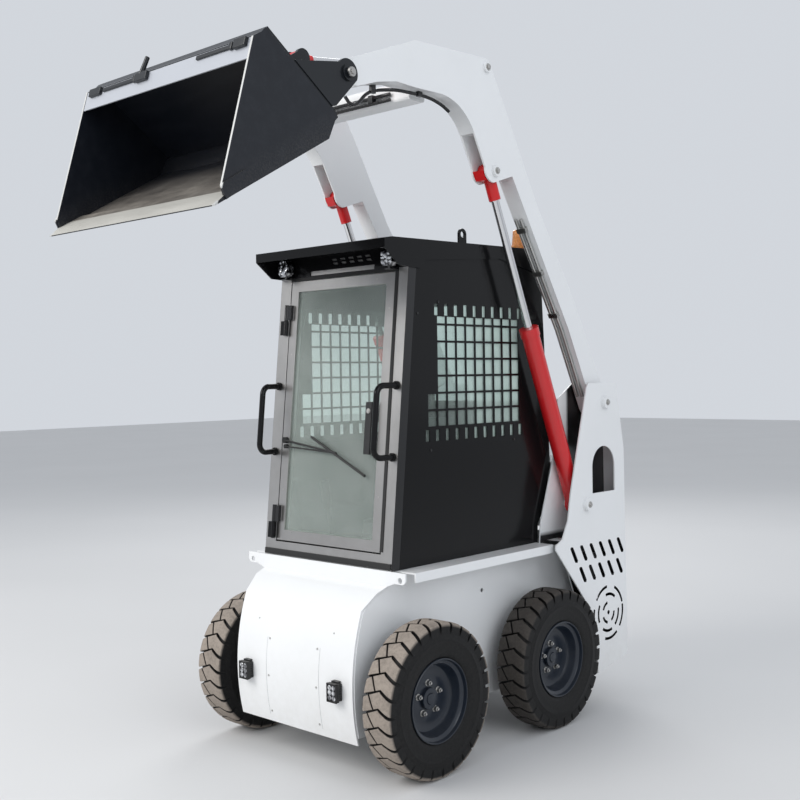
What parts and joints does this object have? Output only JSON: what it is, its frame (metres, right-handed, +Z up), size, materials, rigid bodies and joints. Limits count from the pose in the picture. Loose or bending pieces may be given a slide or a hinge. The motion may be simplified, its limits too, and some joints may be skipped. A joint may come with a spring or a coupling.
{
  "type": "skid steer loader",
  "caption": "Compact wheeled loader with a glazed black cab, goose-neck lift arms raised behind and over it, and a tipped bucket on a quick coupler",
  "frame": {"origin": "on the ground, under the middle of the machine's outline as stored, boom raised", "axes": "+Z up from the ground, -Y the way the machine faces, +X its own left side"},
  "size_m": [1.116, 2.4098, 2.798],
  "materials": {
    "white_paint": "glossy white enamel on steel",
    "black_panel": "glossy black enamel on sheet steel",
    "bright_steel": "polished stainless steel",
    "bucket_paint": "dark blue-grey paint, worn on the floor",
    "coupler_paint": "dark blue-grey paint",
    "red_paint": "red enamel",
    "chrome": "hard chrome with a red rod end",
    "tyre_rubber": "black rubber, dusty tread",
    "rim_paint": "dark blue-grey paint",
    "window_glass": "clear safety glass with a green tint",
    "black_plastic": "black plastic",
    "lamp_glass": "clear lamp lens in a black housing",
    "pipe_paint": "black steel pipes and a black rubber hose",
    "amber": "amber lens",
    "seat_cover": "black vinyl",
    "cast_iron": "painted castings"
  },
  "bodies": {
    "boom": {"boom_arm_left": "white_paint", "boom_arm_right": "white_paint", "boom_crossbeam": "white_paint", "boom_pipes": "pipe_paint"},
    "bucket": {"bucket": "bucket_paint", "coupler": "coupler_paint"},
    "door": {"door_frame": "bright_steel", "door_glass": "window_glass", "door_lock": "black_plastic", "wiper": "black_plastic"},
    "rear_door": {"rear_door": "white_paint"},
    "wheel_front_left": {"tyre_front_left": "tyre_rubber", "rim_front_left": "rim_paint"},
    "wheel_front_right": {"tyre_front_right": "tyre_rubber", "rim_front_right": "rim_paint"},
    "wheel_rear_left": {"tyre_rear_left": "tyre_rubber", "rim_rear_left": "rim_paint"},
    "wheel_rear_right": {"tyre_rear_right": "tyre_rubber", "rim_rear_right": "rim_paint"},
    "lift_barrel_left": {"lift_barrel_left": "red_paint"},
    "lift_rod_left": {"lift_rod_left": "chrome"},
    "tilt_barrel_left": {"tilt_barrel_left": "red_paint"},
    "tilt_rod_left": {"tilt_rod_left": "chrome"},
    "lift_barrel_right": {"lift_barrel_right": "red_paint"},
    "lift_rod_right": {"lift_rod_right": "chrome"},
    "tilt_barrel_right": {"tilt_barrel_right": "red_paint"},
    "tilt_rod_right": {"tilt_rod_right": "chrome"},
    "frame": {"front_plate": "white_paint", "chassis_tub": "white_paint", "axle_front": "cast_iron", "axle_rear": "cast_iron", "tower_inner_left": "white_paint", "tower_inner_right": "white_paint", "tower_left": "white_paint", "engine_block": "cast_iron", "engine_hood": "white_paint", "tower_right": "white_paint", "cab_frame": "bright_steel", "door_hinges": "black_panel", "cab_side_left": "black_panel", "cab_side_right": "black_panel", "side_windows": "window_glass", "cab_rear": "black_panel", "rear_window": "window_glass", "cab_floor": "black_panel", "cab_roof": "black_panel", "work_lights": "lamp_glass", "front_lights": "lamp_glass", "beacon": "amber", "lifting_eyes": "black_panel", "grab_handles": "black_panel", "seat": "seat_cover", "control_levers": "black_plastic"}
  },
  "joints": [
    {"name": "boom_lift", "type": "hinge", "parent": "frame", "child": "boom", "pos_m": [0, 1.00288, 1.386], "axis": [-1, 0, 0], "range_deg": [-73.5, 0]},
    {"name": "bucket_tilt", "type": "hinge", "parent": "boom", "child": "bucket", "pos_m": [0, -0.60712, 2.583], "axis": [1, 0, 0], "range_deg": [-128, 11]},
    {"name": "cab_door", "type": "hinge", "parent": "frame", "child": "door", "pos_m": [-0.311, -0.25476, 1.3], "axis": [0, -0.1059, -0.9944], "range_deg": [0, 90]},
    {"name": "rear_door_hinge", "type": "hinge", "parent": "frame", "child": "rear_door", "pos_m": [-0.389, 1.19688, 0.64], "axis": [0, 0, 1], "range_deg": [0, 100]},
    {"name": "wheel_front_left_spin", "type": "hinge", "parent": "frame", "child": "wheel_front_left", "pos_m": [0.488, -0.23012, 0.295], "axis": [1, 0, 0], "continuous": true},
    {"name": "wheel_front_right_spin", "type": "hinge", "parent": "frame", "child": "wheel_front_right", "pos_m": [-0.488, -0.23012, 0.295], "axis": [1, 0, 0], "continuous": true},
    {"name": "wheel_rear_left_spin", "type": "hinge", "parent": "frame", "child": "wheel_rear_left", "pos_m": [0.488, 0.56988, 0.295], "axis": [1, 0, 0], "continuous": true},
    {"name": "wheel_rear_right_spin", "type": "hinge", "parent": "frame", "child": "wheel_rear_right", "pos_m": [-0.488, 0.56988, 0.295], "axis": [1, 0, 0], "continuous": true},
    {"name": "lift_barrel_left_swing", "type": "hinge", "parent": "frame", "child": "lift_barrel_left", "pos_m": [0.4375, 0.84688, 0.931], "axis": [-1, 0, 0], "range_deg": [-67.39, 0.5]},
    {"name": "lift_rod_left_slide", "type": "slide", "parent": "lift_barrel_left", "child": "lift_rod_left", "axis": [0, -0.3905, 0.9206], "range_m": [-0.55983, 0.002]},
    {"name": "tilt_barrel_left_swing", "type": "hinge", "parent": "boom", "child": "tilt_barrel_left", "pos_m": [0.357, 0.19388, 2.76], "axis": [-1, 0, 0], "range_deg": [-1.95, 0.62]},
    {"name": "tilt_rod_left_slide", "type": "slide", "parent": "tilt_barrel_left", "child": "tilt_rod_left", "axis": [0, -0.9906, -0.1365], "range_m": [-0.23646, 0.02215]},
    {"name": "lift_barrel_right_swing", "type": "hinge", "parent": "frame", "child": "lift_barrel_right", "pos_m": [-0.4375, 0.84688, 0.931], "axis": [-1, 0, 0], "range_deg": [-67.39, 0.5]},
    {"name": "lift_rod_right_slide", "type": "slide", "parent": "lift_barrel_right", "child": "lift_rod_right", "axis": [0, -0.3905, 0.9206], "range_m": [-0.55983, 0.002]},
    {"name": "tilt_barrel_right_swing", "type": "hinge", "parent": "boom", "child": "tilt_barrel_right", "pos_m": [-0.357, 0.19388, 2.76], "axis": [-1, 0, 0], "range_deg": [-1.95, 0.62]},
    {"name": "tilt_rod_right_slide", "type": "slide", "parent": "tilt_barrel_right", "child": "tilt_rod_right", "axis": [0, -0.9906, -0.1365], "range_m": [-0.23646, 0.02215]}
  ],
  "couplings": [
    {"joint": "lift_barrel_left_swing", "follows": "boom_lift", "ratio": 0.91013},
    {"joint": "lift_rod_left_slide", "follows": "boom_lift", "m_per_rad": 0.43485},
    {"joint": "tilt_barrel_left_swing", "follows": "bucket_tilt", "ratio": 0.011331},
    {"joint": "tilt_rod_left_slide", "follows": "bucket_tilt", "m_per_rad": 0.10495},
    {"joint": "lift_barrel_right_swing", "follows": "boom_lift", "ratio": 0.91013},
    {"joint": "lift_rod_right_slide", "follows": "boom_lift", "m_per_rad": 0.43485},
    {"joint": "tilt_barrel_right_swing", "follows": "bucket_tilt", "ratio": 0.011331},
    {"joint": "tilt_rod_right_slide", "follows": "bucket_tilt", "m_per_rad": 0.10495}
  ]
}
